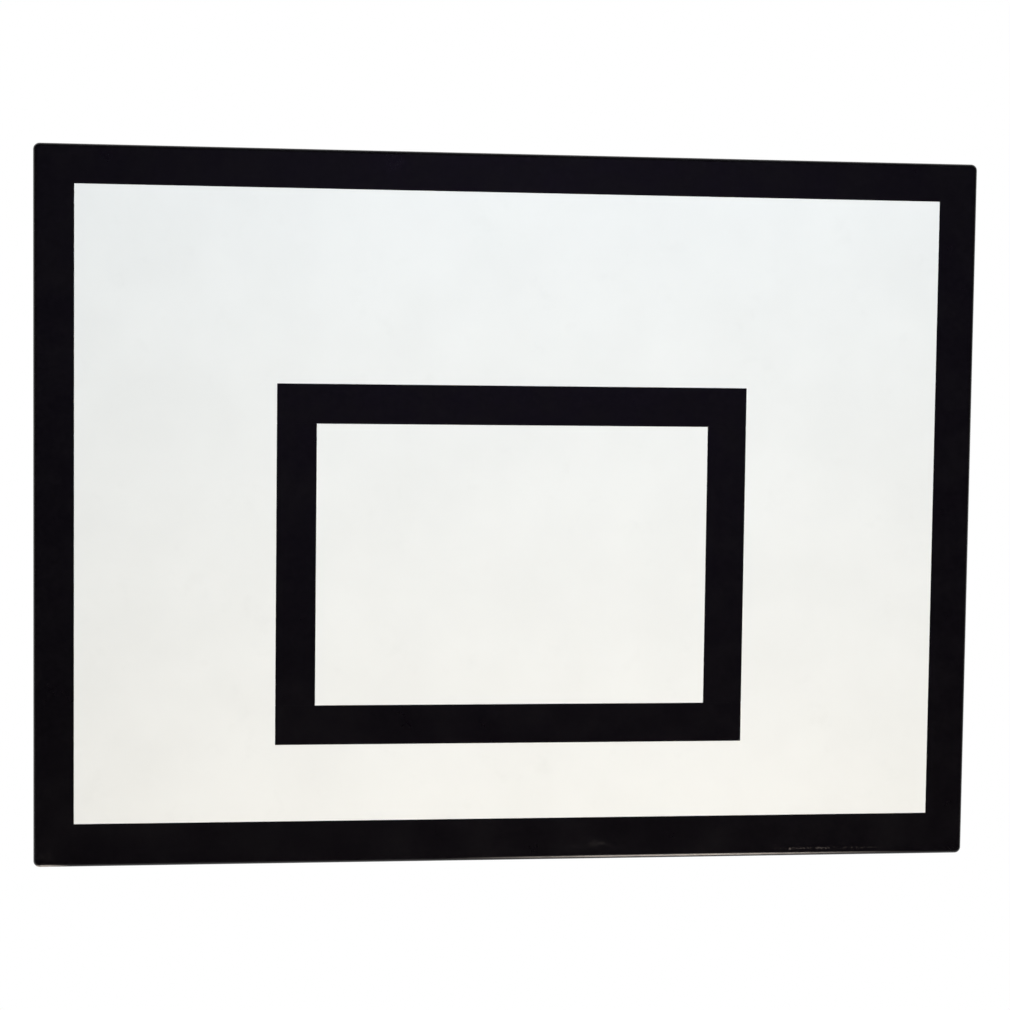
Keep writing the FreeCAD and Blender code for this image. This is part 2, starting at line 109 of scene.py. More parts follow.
def linear(code: str) -> tuple[float, float, float, float]:
    """Turn an sRGB hex colour into linear values.

    Args:
        code: Colour such as "#1A2B3C".

    Returns:
        Linear red, green and blue, and an alpha of 1.
    """
    shares = [int(code[i : i + 2], 16) / 255 for i in (1, 3, 5)]
    red, green, blue = [s / 12.92 if s <= 0.04045 else ((s + 0.055) / 1.055) ** 2.4 for s in shares]
    return red, green, blue, 1.0


def per(size_mm: float) -> float:
    """Texture scale whose features are about that many millimetres across."""
    return 1 / (size_mm * MM)


def add_node(tree: NodeTree, kind: str, *given: object, **named: object) -> Node:
    """Add a node with its settings, values and links.

    An input gets a number, a vector, a hex colour, a socket, or a node's first output in use.
    A Map Range gets its value, the two limits that come in and what these two become.

    Args:
        tree: Node tree that gets the node.
        kind: Node type without its "ShaderNode" prefix.
        *given: What its inputs in use get, in their order.
        **named: What inputs get, by their names, which have a capital, and the node's own
            properties, which have none.

    Returns:
        The new node.
    """
    node = tree.nodes.new("ShaderNode" + kind)
    for name in filter(str.islower, named):
        setattr(node, name, named[name])
    pairs = list(zip([s for s in node.inputs if s.enabled], given))
    pairs += [(node.inputs[n.replace("_", " ")], named[n]) for n in named if not n.islower()]
    for socket, value in pairs:
        if isinstance(value, Node):
            value = next(s for s in value.outputs if s.enabled)
        if isinstance(value, NodeSocket):
            tree.links.new(value, socket)
        else:
            socket.default_value = linear(value) if isinstance(value, str) else value
    return node


def blank(owner: Material | World) -> Add:
    """Clear the nodes of a material or a world.

    Args:
        owner: Material or world.

    Returns:
        A function that adds nodes to it.
    """
    owner.use_nodes = True
    owner.node_tree.nodes.clear()
    return partial(add_node, owner.node_tree)


@dataclass(frozen=True)
class Coat:
    """A made finish: its material and the record's slot that it stands for."""

    material: Material
    slot: str


@dataclass(frozen=True)
class Mark:
    """An oval patch across the Y axis, such as a worn or mended place on the panel."""

    x: float
    z: float
    half_x: float
    half_z: float
    # Far more than any depth here, so that a patch goes right through.
    half_y: float = 100.0

    def mask(self, add: Add, place: NodeSocket, soft: float) -> Node:
        """Draw the patch.

        Args:
            add: Adds a node to the material.
            place: Object coordinates.
            soft: Share of the patch over which it fades out.

        Returns:
            A node that is 1 inside the patch and 0 outside.
        """
        middle = (self.x, 0, self.z)
        halves = (self.half_x, self.half_y, self.half_z)
        oval = add("Mapping", Vector=place, Location=middle, Scale=halves, vector_type="TEXTURE")
        reach = add("VectorMath", oval, operation="LENGTH")
        return add("MapRange", reach, 1.0, 1.0 - soft, interpolation_type="SMOOTHSTEP")


@dataclass(frozen=True)
class Finish:
    """What every finish of the board shares."""

    name: str = "finish"
    slot: str = ""
    ground: str = "#808080"
    metallic: float = 0.0
    # The shader's own default, which metals keep.
    ior: float = 1.5
    lacquer: float = 0.0
    lacquer_roughness: float = 0.03
    relief: float = 0.3
    relief_depth: float = 0.03 * MM

    def make(self) -> Coat:
        """Make the material: colours laid over the ground, on a principled shader.

        Returns:
            The material with its slot.
        """
        material = bpy.data.materials.new(self.name)
        add = blank(material)
        layers, roughness, height = self.dress(add, add("TexCoord").outputs["Object"])
        shown: Node | str = self.ground
        for mask, colour in layers:
            shown = add("Mix", mask, shown, colour, data_type="RGBA")
        shader = add(
            "BsdfPrincipled",
            Base_Color=shown,
            Roughness=roughness,
            Normal=add("Bump", Strength=self.relief, Distance=self.relief_depth, Height=height),
            Metallic=self.metallic,
            IOR=self.ior,
            Coat_Weight=self.lacquer,
            Coat_Roughness=self.lacquer_roughness,
        )
        add("OutputMaterial", Surface=shader)
        return Coat(material, self.slot)

    def dress(self, add: Add, place: NodeSocket) -> Look:
        """Add the finish's own nodes.

        Args:
            add: Adds a node to the material.
            place: Object coordinates.

        Returns:
            Colours with their masks from the lowest, roughness and height.
        """
        raise NotImplementedError


def edge_distance(add: Add, place: NodeSocket) -> Node:
    """Measure how far a point of the panel is from the panel's outline.

    Args:
        add: Adds a node to the material.
        place: Object coordinates.

    Returns:
        A node with the distance, positive inside the outline.
    """
    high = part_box("border_band")[1]
    parts = add("SeparateXYZ", place)
    gaps = []
    for way, limit in (("X", high.x), ("Z", high.z)):
        reach = add("Math", parts.outputs[way], operation="ABSOLUTE")
        gaps.append(add("Math", limit, reach, operation="SUBTRACT"))
    return add("Math", *gaps, operation="MINIMUM")


@dataclass(frozen=True)
class WhiteLaminate(Finish):
    """High-pressure laminate, a melamine-faced sheet pressed with a fine pearl texture."""

    # A satin white that scatters light evenly, a little cool, with faint clouding and old ball marks.
    name: str = "white_high_pressure_laminate"
    slot: str = "white_laminate"
    ground: str = "#F0F1ED"
    clear: str = "#F3F4F0"
    ball_mark: str = "#C6C7C2"
    cloud_mm: float = 110.0
    mark_mm: float = 38.0
    # The real pearl texture is about 0.4 mm, and is drawn coarser so that it shows.
    pearl_mm: float = 1.8
    relief: float = 0.2
    relief_depth: float = 0.02 * MM

    def dress(self, add: Add, place: NodeSocket) -> Look:
        """Cloud the white, mark it faintly and give it the pressed texture.

        Args:
            add: Adds a node to the material.
            place: Object coordinates.

        Returns:
            Colours with their masks from the lowest, roughness and height.
        """
        cloud = add("TexNoise", Vector=place, Scale=per(self.cloud_mm), Detail=3.0)
        clear = add("MapRange", cloud, 0.35, 0.65)
        dab = add("TexNoise", Vector=place, Scale=per(self.mark_mm), Detail=5.0, Roughness=0.6)
        dabs = add("MapRange", dab, 0.6, 0.8, 0.0, 0.08)
        roughness = add("MapRange", dab, 0.3, 0.7, 0.36, 0.46)
        pearl = add("TexNoise", Vector=place, Scale=per(self.pearl_mm), Detail=2.0)
        return [(clear, self.clear), (dabs, self.ball_mark)], roughness, pearl


@dataclass(frozen=True)
class BlackEnamel(Finish):
    """Alkyd gloss enamel, rolled on over an undercoat and rubbed dull by balls and weather."""

    # A deep, faintly warm black with a soft sheen, fine roller peel, faint dust and a few pale chips, and
    # a pale highlight painted along the lower arris and its left corner.
    name: str = "black_alkyd_enamel"
    slot: str = "black_enamel"
    ground: str = "#080609"
    worn: str = "#0E0B0F"
    dust: str = "#4A4744"
    chip: str = "#564F4C"
    # Colour of the highlight painted on the lower arris, where the rounded edge catches light.
    highlight_colour: str = "#C4BDB7"
    mottle_mm: float = 4.0
    dust_mm: float = 60.0
    rub_mm: float = 7.0
    chip_mm: float = 3.2
    # Roller peel is about 1 mm, and is drawn coarser so that it shows.
    peel_mm: float = 2.4
    relief: float = 0.25
    chips: Mark = Mark(x=415 * MM, z=-440.2 * MM, half_x=84 * MM, half_z=2.2 * MM)
    nick: Mark = Mark(x=369 * MM, z=-440.6 * MM, half_x=2.4 * MM, half_z=2.4 * MM)
    knock: Mark = Mark(x=-590 * MM, z=-440 * MM, half_x=22 * MM, half_z=18 * MM)
    scuff: Mark = Mark(x=100 * MM, z=-429 * MM, half_x=60 * MM, half_z=9 * MM)
    # Where the lower arris and its left corner get a painted highlight.
    arris_highlight: Mark = Mark(x=228 * MM, z=-446.4 * MM, half_x=330 * MM, half_z=1.8 * MM)
    corner_highlight: Mark = Mark(x=-585 * MM, z=-448.5 * MM, half_x=34 * MM, half_z=2.4 * MM)

    def dress(self, add: Add, place: NodeSocket) -> Look:
        """Mottle the black, dust it, chip and scuff its lower edge, and paint a pale highlight along its
        lower arris and left corner.

        Args:
            add: Adds a node to the material.
            place: Object coordinates.

        Returns:
            Colours with their masks from the lowest, roughness and height.
        """
        mottle = add("TexNoise", Vector=place, Scale=per(self.mottle_mm), Detail=3.0)
        mottled = add("MapRange", mottle, 0.35, 0.75)
        film = add("TexNoise", Vector=place, Scale=per(self.dust_mm), Detail=6.0, Roughness=0.65)
        dusty = add("MapRange", film, 0.45, 0.8, 0.0, 0.03)
        streaks = add("Mapping", Vector=place, Scale=(0.35, 1, 1))
        rub = add("TexNoise", Vector=streaks, Scale=per(self.rub_mm), Detail=5.0, Roughness=0.7)
        rubs = add("MapRange", rub, 0.52, 0.75, 0.0, 0.22)
        scuffs = add("Math", rubs, self.scuff.mask(add, place, soft=0.9), operation="MULTIPLY")
        knocks = add("Math", rubs, self.knock.mask(add, place, soft=0.8), operation="MULTIPLY")
        rubbed = add("Math", scuffs, knocks, operation="MAXIMUM")
        speck = add("TexNoise", Vector=place, Scale=per(self.chip_mm), Detail=1.0)
        specks = add("MapRange", speck, 0.5, 0.68, 0.0, 0.5)
        row = add("Math", specks, self.chips.mask(add, place, soft=0.6), operation="MULTIPLY")
        chipped = add("Math", row, self.nick.mask(add, place, soft=1.0), operation="MAXIMUM")
        # A painted highlight along the lower arris and at its left corner, broken up by the rub noise.
        arris = self.arris_highlight.mask(add, place, soft=1.0)
        corner = self.corner_highlight.mask(add, place, soft=1.0)
        highlit_edges = add("Math", arris, corner, operation="MAXIMUM")
        uneven = add("MapRange", rub, 0.3, 0.6, 0.55, 1.0)
        arris_highlight_share = add("Math", highlit_edges, uneven, operation="MULTIPLY")
        layers = [
            (mottled, self.worn),
            (dusty, self.dust),
            (rubbed, self.dust),
            (chipped, self.chip),
            (arris_highlight_share, self.highlight_colour),
        ]
        roughness = add("MapRange", film, 0.3, 0.7, 0.26, 0.4)
        peel = add("TexNoise", Vector=place, Scale=per(self.peel_mm), Detail=2.0)
        return layers, roughness, peel


@dataclass(frozen=True)
class BirchPlywood(Finish):
    """Rotary-cut birch plywood, sanded and sealed with a satin lacquer."""

    # A pale honey wood with watery growth-ring figure along the panel, fine fibres and short pores,
    # brown pin knots, and oval plugs of other veneer where larger knots were cut out.
    name: str = "lacquered_birch_plywood"
    slot: str = "birch_plywood"
    ground: str = "#E8D5B1"
    ring: str = "#DFC79C"
    fibre: str = "#C7A676"
    pore: str = "#9C7A52"
    knot: str = "#7A5432"
    glue: str = "#A17F55"
    overspray: str = "#141214"
    ring_mm: float = 70.0
    rings: float = 9.0
    fibre_mm: float = 1.4
    pore_mm: float = 1.1
    knot_mm: float = 210.0
    spray_mm: float = 9.0
    wrap: float = 2.0 * MM
    relief_depth: float = 0.05 * MM
    lacquer: float = 0.15
    lacquer_roughness: float = 0.3
    plugs: tuple[Mark, ...] = (
        Mark(x=-372 * MM, z=148 * MM, half_x=40 * MM, half_z=15 * MM),
        Mark(x=338 * MM, z=-96 * MM, half_x=46 * MM, half_z=17 * MM),
        Mark(x=52 * MM, z=236 * MM, half_x=34 * MM, half_z=13 * MM),
    )
    # Where in the veneer the plugs were cut from, and how much darker they are.
    plug_from: Point = (0.31, 0.0, 0.17)
    plug_shade: float = 0.4

    def dress(self, add: Add, place: NodeSocket) -> Look:
        """Draw the veneer's figure, fibres, pores, knots and plugs, and the paint's line round the edge.

        Args:
            add: Adds a node to the material.
            place: Object coordinates.

        Returns:
            Colours with their masks from the lowest, roughness and height.
        """
        plug: Node | float = 0.0
        for mark in self.plugs:
            plug = add("Math", plug, mark.mask(add, place, soft=0.05), operation="MAXIMUM")
        cut = add("Math", plug, 0.5, operation="GREATER_THAN")
        grain = add("VectorMath", cut, self.plug_from, place, operation="MULTIPLY_ADD")
        along = add("Mapping", Vector=grain, Scale=(0.14, 1, 1))
        field = add("TexNoise", Vector=along, Scale=per(self.ring_mm), Detail=2.0, Distortion=0.6)
        turns = add("Math", field, self.rings * math.tau, operation="MULTIPLY")
        waves = add("Math", turns, operation="SINE")
        figure = add("MapRange", waves, -0.4, 1.0, 0.0, 0.85)
        darker = add("Math", cut, self.plug_shade, figure, operation="MULTIPLY_ADD")
        drawn = add("Mapping", Vector=grain, Scale=(0.02, 1, 1))
        fibre = add("TexNoise", Vector=drawn, Scale=per(self.fibre_mm), Detail=4.0, Roughness=0.6)
        fibres = add("MapRange", fibre, 0.4, 0.75, 0.0, 0.45)
        short = add("Mapping", Vector=grain, Scale=(0.09, 1, 1))
        pore = add("TexNoise", Vector=short, Scale=per(self.pore_mm), Detail=1.0)
        pores = add("MapRange", pore, 0.66, 0.74, 0.0, 0.6)
        laid = add("Mapping", Vector=place, Rotation=(math.pi / 2, 0, 0), Scale=(0.6, 1, 1))
        pin = add("TexVoronoi", Vector=laid, Scale=per(self.knot_mm), voronoi_dimensions="2D")
        pins = add("MapRange", pin, 0.014, 0.006, 0.0, 0.75)
        seam = add("Math", plug, 0.5, operation="PINGPONG")
        seams = add("MapRange", seam, 0.1, 0.4, 0.0, 0.7)
        ragged = add("TexNoise", Vector=place, Scale=per(self.spray_mm), Detail=4.0)
        reach = add("Math", ragged, 2 * self.wrap, edge_distance(add, place), operation="MULTIPLY_ADD")
        painted = add("MapRange", reach, 2.6 * self.wrap, 2.1 * self.wrap)
        layers = [
            (darker, self.ring),
            (fibres, self.fibre),
            (pores, self.pore),
            (pins, self.knot),
            (seams, self.glue),
            (painted, self.overspray),
        ]
        roughness = add("MapRange", fibre, 0.3, 0.7, 0.42, 0.55)
        return layers, roughness, fibre


@dataclass(frozen=True)
class GalvanisedSteel(Finish):
    """Mild steel, hot-dip galvanised after welding."""

    # A dull silver skin of zinc crystals, each cell a little lighter or darker, clouded by pale bloom.
    name: str = "hot_dip_galvanised_steel"
    slot: str = "galvanised_steel"
    metallic: float = 1.0
    ground: str = "#A6ABAF"
    bright: str = "#C4C8CB"
    bloom: str = "#B8BBBB"
    spangle_mm: float = 9.0
    ragged_mm: float = 5.0
    ragged_by: Point = (6 * MM, 6 * MM, 6 * MM)
    bloom_mm: float = 60.0
    run_mm: float = 7.0
    relief: float = 0.35
    relief_depth: float = 0.12 * MM

    def dress(self, add: Add, place: NodeSocket) -> Look:
        """Draw the zinc crystals, the bloom over them and the uneven runs of the dip.

        Args:
            add: Adds a node to the material.
            place: Object coordinates.

        Returns:
            Colours with their masks from the lowest, roughness and height.
        """
        ragged = add("TexNoise", Vector=place, Scale=per(self.ragged_mm), Detail=3.0).outputs["Color"]
        moved = add("VectorMath", ragged, self.ragged_by, place, operation="MULTIPLY_ADD")
        cells = add("TexVoronoi", Vector=moved, Scale=per(self.spangle_mm))
        shade = add("SeparateColor", cells.outputs["Color"])
        cloud = add("TexNoise", Vector=place, Scale=per(self.bloom_mm), Detail=5.0, Roughness=0.6)
        cloudy = add("MapRange", cloud, 0.4, 0.7, 0.0, 0.6)
        crystal = add("MapRange", shade.outputs["Green"], 0.0, 1.0, 0.3, 0.46)
        roughness = add("Math", cloudy, 0.18, crystal, operation="MULTIPLY_ADD")
        run = add("TexNoise", Vector=place, Scale=per(self.run_mm), Detail=2.0)
        return [(shade, self.bright), (cloudy, self.bloom)], roughness, run


@dataclass(frozen=True)
class ZincPlate(Finish):
    """Steel fasteners, electroplated with zinc and clear passivated."""

    # A bright blue-white metal with a faint straw tint and fine tool marks.
    name: str = "zinc_plated_steel"
    slot: str = "zinc_fasteners"
    metallic: float = 1.0
    ground: str = "#C3CAD2"
    straw: str = "#CFC9B4"
    tint_mm: float = 6.0
    # Tool marks are about 0.1 mm, and are drawn coarser so that they show.
    tool_mm: float = 0.7
    relief: float = 0.15

    def dress(self, add: Add, place: NodeSocket) -> Look:
        """Tint the plating and mark it.

        Args:
            add: Adds a node to the material.
            place: Object coordinates.

        Returns:
            Colours with their masks from the lowest, roughness and height.
        """
        tint = add("TexNoise", Vector=place, Scale=per(self.tint_mm), Detail=2.0)
        tinted = add("MapRange", tint, 0.4, 0.7)
        tool = add("TexNoise", Vector=place, Scale=per(self.tool_mm), Detail=2.0)
        roughness = add("MapRange", tool, 0.3, 0.7, 0.2, 0.34)
        return [(tinted, self.straw)], roughness, tool


@dataclass(frozen=True)
class BlackPolyethylene(Finish):
    """Low-density polyethylene, injection moulded in a spark-eroded mould."""

    # A waxy charcoal black with a fine even grain and a little dust.
    name: str = "black_polyethylene"
    slot: str = "black_plastic"
    ior: float = 1.51
    ground: str = "#161617"
    dust: str = "#2E2D2C"
    dust_mm: float = 9.0
    # Spark grain is about 0.15 mm, and is drawn coarser so that it shows.
    grain_mm: float = 0.6
    relief_depth: float = 0.04 * MM

    def dress(self, add: Add, place: NodeSocket) -> Look:
        """Dust the plastic and give it the mould's grain.

        Args:
            add: Adds a node to the material.
            place: Object coordinates.

        Returns:
            Colours with their masks from the lowest, roughness and height.
        """
        film = add("TexNoise", Vector=place, Scale=per(self.dust_mm), Detail=4.0)
        dusty = add("MapRange", film, 0.45, 0.75, 0.0, 0.7)
        roughness = add("MapRange", film, 0.3, 0.7, 0.42, 0.58)
        grain = add("TexNoise", Vector=place, Scale=per(self.grain_mm), Detail=1.0)
        return [(dusty, self.dust)], roughness, grain


def nodes_of(kind: str) -> list[str]:
    """CAD nodes of one kind in order, such as the tabs, without their welds."""
    return sorted(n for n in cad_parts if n.startswith(kind + "_") and not n.endswith("_welds"))


def block(low: Vector, high: Vector) -> BMesh:
    """Start a shape as a box.

    Args:
        low: Lowest corner.
        high: Highest corner.

    Returns:
        The box as a bmesh.
    """
    shape = bmesh.new()
    stand = Matrix.Translation((low + high) / 2) @ Matrix.Diagonal((*(high - low), 1.0))
    bmesh.ops.create_cube(shape, size=1.0, matrix=stand)
    shape.normal_update()
    return shape


def edges_along(shape: BMesh, axis: Axis) -> list[BMEdge]:
    """Edges of a shape that run along an axis."""
    runs = [(e, (e.verts[1].co - e.verts[0].co).normalized()) for e in shape.edges]
    return [e for e, run in runs if abs(run[axis.value]) > ALIGNED]


def edges_at(shape: BMesh, axis: Axis, level: float) -> list[BMEdge]:
    """Edges of a shape that lie in a plane across an axis."""
    return [e for e in shape.edges if all(abs(v.co[axis.value] - level) < TOUCH for v in e.verts)]


def edges_of(verts: list[BMVert]) -> list[BMEdge]:
    """Edges that end at any of the vertices, each once and in the same order in every run."""
    return list(dict.fromkeys(e for v in verts for e in v.link_edges))


def face_towards(shape: BMesh, way: Vector) -> BMFace:
    """Largest face of a shape that looks that way."""
    shape.normal_update()
    return max((f for f in shape.faces if f.normal.dot(way) > ALIGNED), key=lambda f: f.calc_area())


def fresh(made: dict[str, list], kind: type) -> list:
    """Elements of one kind that an operator has made."""
    return [g for g in made["geom"] if isinstance(g, kind)]


def round_off(shape: BMesh, geom: list, radius: float, steps: int, what: Rounded = Rounded.EDGES) -> None:
    """Round edges or corners of a shape.

    Args:
        shape: Shape that has them.
        geom: Edges, or an outline's vertices.
        radius: Radius that they get.
        steps: Number of facets of each.
        what: What is rounded.
    """
    bmesh.ops.bevel(
        shape,
        geom=geom,
        offset=radius,
        offset_type="OFFSET",
        affect=what.value,
        segments=steps,
        profile=0.5,
        material=-1,
        clamp_overlap=True,
    )


def lay_rectangle(shape: BMesh, middle: Vector, half_x: float, half_z: float) -> list[BMVert]:
    """Add a flat rectangle across the Y axis.

    Args:
        shape: Shape that gets the rectangle.
        middle: Middle of the rectangle.
        half_x: Half its width.
        half_z: Half its height.

    Returns:
        The rectangle's corners.
    """
    stand = Matrix.Translation(middle) @ UPRIGHT @ Matrix.Diagonal((half_x, half_z, 1, 1))
    return bmesh.ops.create_grid(shape, x_segments=1, y_segments=1, size=1.0, matrix=stand)["verts"]


def open_ring(shape: BMesh, centre: Vector, radius: float, steps: int) -> list[BMEdge]:
    """Add a circle of edges across the Y axis.

    Args:
        shape: Shape that gets the circle.
        centre: Middle of the circle.
        radius: Radius of the circle.
        steps: Number of its edges.

    Returns:
        The circle's edges.
    """
    stand = Matrix.Translation(centre) @ UPRIGHT
    return edges_of(bmesh.ops.create_circle(shape, segments=steps, radius=radius, matrix=stand)["verts"])


def pierce(shape: BMesh, face: BMFace, openings: list[list[BMEdge]]) -> None:
    """Fill a flat face again, with openings in it.

    Args:
        shape: Shape that has the face.
        face: Face to open.
        openings: Loops of edges in the face's plane.
    """
    rim = list(face.edges)
    bmesh.ops.delete(shape, geom=[face], context="FACES_ONLY")
    loops = rim + [e for loop in openings for e in loop]
    bmesh.ops.triangle_fill(shape, edges=loops, use_beauty=True)
    bmesh.ops.recalc_face_normals(shape, faces=shape.faces)


def draw_out(
    shape: BMesh, face: BMFace, move: Vector, size: float, root: Vector, keep: bool = False
) -> BMFace:
    """Extrude a face, move its end and then scale that end.

    Args:
        shape: Shape that has the face.
        face: Face to extrude.
        move: Way that the end moves.
        size: Scale of the end.
        root: Point that the end is scaled about, after the move.
        keep: Whether the first face stays, to close a new shape.

    Returns:
        The face at the end.
    """
    made = bmesh.ops.extrude_face_region(shape, geom=[face], use_keep_orig=True)
    verts = fresh(made, BMVert)
    bmesh.ops.translate(shape, verts=verts, vec=move)
    bmesh.ops.scale(shape, verts=verts, vec=(size, size, size), space=Matrix.Translation(-root))
    if not keep:
        bmesh.ops.delete(shape, geom=[face], context="FACES_ONLY")
    return fresh(made, BMFace)[0]


def stand_up(name: str, shape: BMesh, material: Material) -> Object:
    """Turn a shape into an object of the scene.

    Args:
        name: Name of the object.
        shape: Its shape, which is used up.
        material: Its material.

    Returns:
        The object.
    """
    mesh = bpy.data.meshes.new(name)
    shape.to_mesh(mesh)
    shape.free()
    mesh.materials.append(material)
    thing = bpy.data.objects.new(name, mesh)
    bpy.context.scene.collection.objects.link(thing)
    return thing


def set_piece(name: str, shape: BMesh, coat: Coat, *nodes: str) -> None:
    """Turn a shape into a piece that stands for its CAD nodes.

    Args:
        name: Name of the piece.
        shape: Finished shape, which is used up.
        coat: Finish of the piece.
        *nodes: CAD nodes that the piece stands for.
    """
    bmesh.ops.remove_doubles(shape, verts=shape.verts, dist=TOUCH)
    bmesh.ops.recalc_face_normals(shape, faces=shape.faces)
    piece = stand_up(name, shape, coat.material)
    piece.data.shade_smooth()
    piece.data.set_sharp_from_angle(angle=SHARP)
    normals = piece.modifiers.new("even_shading", "WEIGHTED_NORMAL")
    normals.keep_sharp = True
    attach(piece, "root")
    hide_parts(*nodes)
    LOG.info("%s: %d faces, stands for %s", name, len(piece.data.polygons), ", ".join(nodes))


@dataclass
class Panel:
    """Playing panel: plywood core, white face sheet, black border and target lines."""

    white: Coat
    black: Coat
    birch: Coat
    corner: float = 8 * MM
    arris: float = 5 * MM
    border_side: float = 50 * MM
    border_top: float = 49 * MM
    border_bottom: float = 54.5 * MM
    paint: float = 0.1 * MM
    line_edge: float = 0.05 * MM
    line_corner: float = 0.8 * MM
    sanded: float = 0.8 * MM

    def build(self) -> None:
        """Build the panel's pieces from back to front."""
        self.build_core()
        self.build_face_sheet()
        self.build_border()
        for side in ("top", "bottom", "left", "right"):
            self.build_line("target_line_" + side)

    def build_core(self) -> None:
        """Build the plywood, rounded at its front under the paint and sanded at its back."""
        low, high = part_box("plywood_core")
        cover = low.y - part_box("border_band")[0].y
        shape = block(low, high)
        round_off(shape, edges_along(shape, Axis.Y), self.corner, steps=10)
        round_off(shape, edges_at(shape, Axis.Y, low.y), self.arris - cover, steps=6)
        round_off(shape, edges_at(shape, Axis.Y, high.y), self.sanded, steps=3)
        set_piece("plywood_board", shape, self.birch, "plywood_core")

    def build_face_sheet(self) -> None:
        """Build the white sheet, whose front lies a coat of paint behind the lines."""
        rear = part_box("front_laminate")[1].y
        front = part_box("border_band")[0]
        inner = front + Vector((self.arris, self.paint, self.arris))
        shape = block(inner, Vector((-inner.x, rear, -inner.z)))
        round_off(shape, edges_along(shape, Axis.Y), self.corner - self.arris, steps=6)
        set_piece("white_face_sheet", shape, self.white, "front_laminate")

    def build_border(self) -> None:
        """Build the border's coat of paint, which wraps the arris and the panel's sides."""
        low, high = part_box("border_band")
        shape = block(low, high)
        round_off(shape, edges_along(shape, Axis.Y), self.corner, steps=12)
        bmesh.ops.delete(shape, geom=[face_towards(shape, REAR)], context="FACES")
        round_off(shape, edges_at(shape, Axis.Y, low.y), self.arris, steps=10)
        front = face_towards(shape, FRONT)
        sill, head = low.z + self.border_bottom, high.z - self.border_top
        middle = Vector((0, low.y, (sill + head) / 2))
        window = lay_rectangle(shape, middle, high.x - self.border_side, (head - sill) / 2)
        bmesh.ops.delete(shape, geom=list(window[0].link_faces), context="FACES_ONLY")
        pierce(shape, front, [edges_of(window)])
        bmesh.ops.solidify(shape, geom=list(shape.faces), thickness=self.paint)
        set_piece("border_paint", shape, self.black, "border_band")

    def build_line(self, node: str) -> None:
        """Build one line of the target as a coat of paint on the sheet.

        Args:
            node: CAD node of the line.
        """
        low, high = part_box(node)
        shape = block(low, Vector((high.x, low.y + self.paint, high.z)))
        round_off(shape, edges_along(shape, Axis.Y), self.line_corner, steps=3)
        round_off(shape, edges_at(shape, Axis.Y, low.y), self.line_edge, steps=2)
        set_piece(node + "_paint", shape, self.black, node)


BOTH_ENDS = (TubeEnd.LOW, TubeEnd.HIGH)
# Tubes: the axis that each runs along, and its ends that are welded to another tube.
TUBES = {
    "top_rail": (Axis.X, ()),
    "bottom_rail_left": (Axis.X, (TubeEnd.HIGH,)),
    "bottom_rail_right": (Axis.X, (TubeEnd.LOW,)),
    "ring_crossbar": (Axis.X, BOTH_ENDS),
    "stile_left": (Axis.Z, BOTH_ENDS),
    "stile_right": (Axis.Z, BOTH_ENDS),
    "upright_left": (Axis.Z, (TubeEnd.HIGH,)),
    "upright_right": (Axis.Z, (TubeEnd.HIGH,)),
}


def near_end(node: str, axis: Axis, end: TubeEnd, inset: float) -> Vector:
    """Find a point on the middle line of a tube's rear face.

    Args:
        node: CAD node of the tube.
        axis: Axis that it runs along.
        end: End that the point is near.
        inset: Distance from that end.

    Returns:
        The point.
    """
    low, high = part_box(node)
    place = (low + high) / 2
    place.y = high.y
    limit = high if end is TubeEnd.HIGH else low
    place[axis.value] = limit[axis.value] - end.value * inset
    return place


@dataclass
class TubeFrame:
    """Welded frame of square tube, open where end caps close it and drained for the zinc bath."""

    steel: Coat
    wall: float = 2 * MM
    corner: float = 3 * MM
    vent: float = 4 * MM
    vent_inset: float = 25 * MM

    def build(self) -> None:
        """Build the eight tubes, each with a drain hole near its welded ends."""
        for node, (axis, welded) in TUBES.items():
            self.build_tube(node, axis, welded)

    def build_tube(self, node: str, axis: Axis, vented: tuple[TubeEnd, ...]) -> None:
        """Build one tube.

        Args:
            node: CAD node of the tube.
            axis: Axis that it runs along.
            vented: Ends that have a drain hole in the rear wall.
        """
        low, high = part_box(node)
        shape = block(low, high)
        ends = [f for f in shape.faces if abs(f.normal[axis.value]) > ALIGNED]
        bmesh.ops.delete(shape, geom=ends, context="FACES_ONLY")
        round_off(shape, edges_along(shape, axis), self.corner, steps=5)
        places = [near_end(node, axis, end, self.vent_inset) for end in vented]
        rings = [open_ring(shape, place, self.vent, steps=24) for place in places]
        if rings:
            pierce(shape, face_towards(shape, REAR), rings)
        bmesh.ops.recalc_face_normals(shape, faces=shape.faces)
        bmesh.ops.solidify(shape, geom=list(shape.faces), thickness=self.wall)
        set_piece(node + "_tube", shape, self.steel, node)


def tab_way(node: str) -> Vector:
    """Direction that a tab points in, away from its tube."""
    return next(Vector(side.value[1]) for side in TabSide if node.startswith(side.value[0]))


def screw_place(node: str, inset: float) -> Vector:
    """Find where the screw goes through a tab.

    Args:
        node: CAD node of the tab.
        inset: Distance from the tube's side to the screw.

    Returns:
        The hole's centre on the tab's rear face.
    """
    low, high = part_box(node)
    way = tab_way(node)
    reach = abs((high - low).dot(way))
    place = (low + high) / 2 + way * (inset - reach / 2)
    place.y = high.y
    return place


